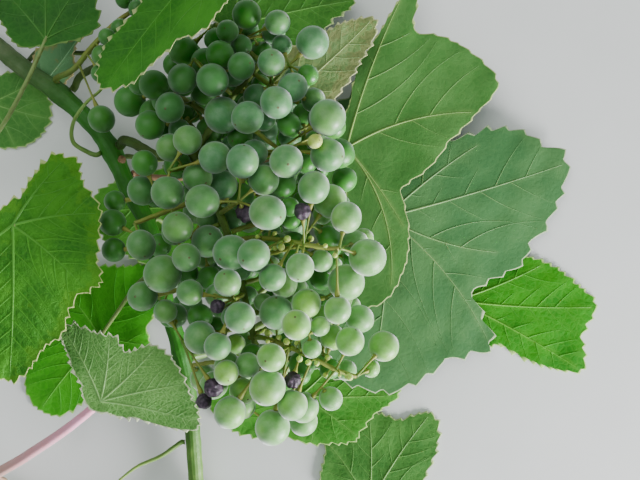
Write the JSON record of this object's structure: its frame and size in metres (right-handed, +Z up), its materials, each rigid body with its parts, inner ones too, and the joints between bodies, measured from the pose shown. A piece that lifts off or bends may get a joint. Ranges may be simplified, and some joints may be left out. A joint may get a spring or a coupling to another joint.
{
  "type": "cut grapevine shoot with a bunch of unripe grapes",
  "caption": "Cut length of grapevine shoot lying flat, with lobed leaves on long stalks, tendrils and a large bunch of unripe green grapes.",
  "frame": {"origin": "on the ground under the middle of the shoot, which lies flat: the middle of the underside of its box", "axes": "+Z up from the ground it lies on; +X from the cut shoot towards the large leaves; +Y towards the thick cut end of the shoot, the top of the bunch"},
  "size_m": [0.3055, 0.264, 0.1062],
  "materials": {
    "shoot": "satin",
    "side_shoot": "satin",
    "bunch_stalk": "satin",
    "tendril": "satin",
    "grape": "satin",
    "dark_leaf": "satin",
    "blue_green_leaf": "matte",
    "pale_veined_leaf": "matte",
    "browned_leaf": "matte",
    "young_leaf": "matte",
    "bright_leaf": "satin"
  },
  "bodies": {
    "root": {"main_shoot": "shoot", "left_side_shoot": "side_shoot", "hidden_side_shoot": "side_shoot", "lower_side_shoot": "side_shoot", "bunch_stalk": "bunch_stalk", "bunch_branch_01": "grape", "bunch_branch_02": "grape", "bunch_branch_03": "grape", "bunch_branch_04": "grape", "bunch_branch_05": "grape", "bunch_branch_06": "grape", "bunch_branch_07": "grape", "bunch_branch_08": "grape", "bunch_branch_09": "grape", "bunch_branch_10": "grape", "bunch_branch_11": "grape", "bunch_branch_12": "grape", "bunch_branch_13": "grape", "bunch_branch_14": "grape", "bunch_branch_15": "grape", "bunch_branch_16": "grape", "bunch_branch_17": "grape", "bunch_branch_18": "grape", "bunch_branch_19": "grape", "bunch_branch_20": "grape", "bunch_branch_21": "grape", "bunch_branch_22": "grape", "bunch_branch_23": "grape", "bunch_branch_24": "grape", "bunch_branch_25": "grape", "bunch_branch_26": "grape", "second_bunch": "grape", "right_leaf": "blue_green_leaf", "centre_leaf": "pale_veined_leaf", "small_top_leaf": "browned_leaf", "upper_front_leaf": "dark_leaf", "top_left_leaf": "dark_leaf", "left_leaf": "bright_leaf", "young_leaf": "young_leaf", "shade_leaf": "bright_leaf", "corner_leaf": "bright_leaf", "spotted_leaf": "blue_green_leaf", "top_middle_leaf": "dark_leaf", "behind_leaf": "bright_leaf", "under_leaf": "bright_leaf", "lower_right_leaf": "bright_leaf", "bottom_leaf": "bright_leaf", "curled_tendril": "tendril", "lower_tendril": "tendril"}
  },
  "joints": []
}
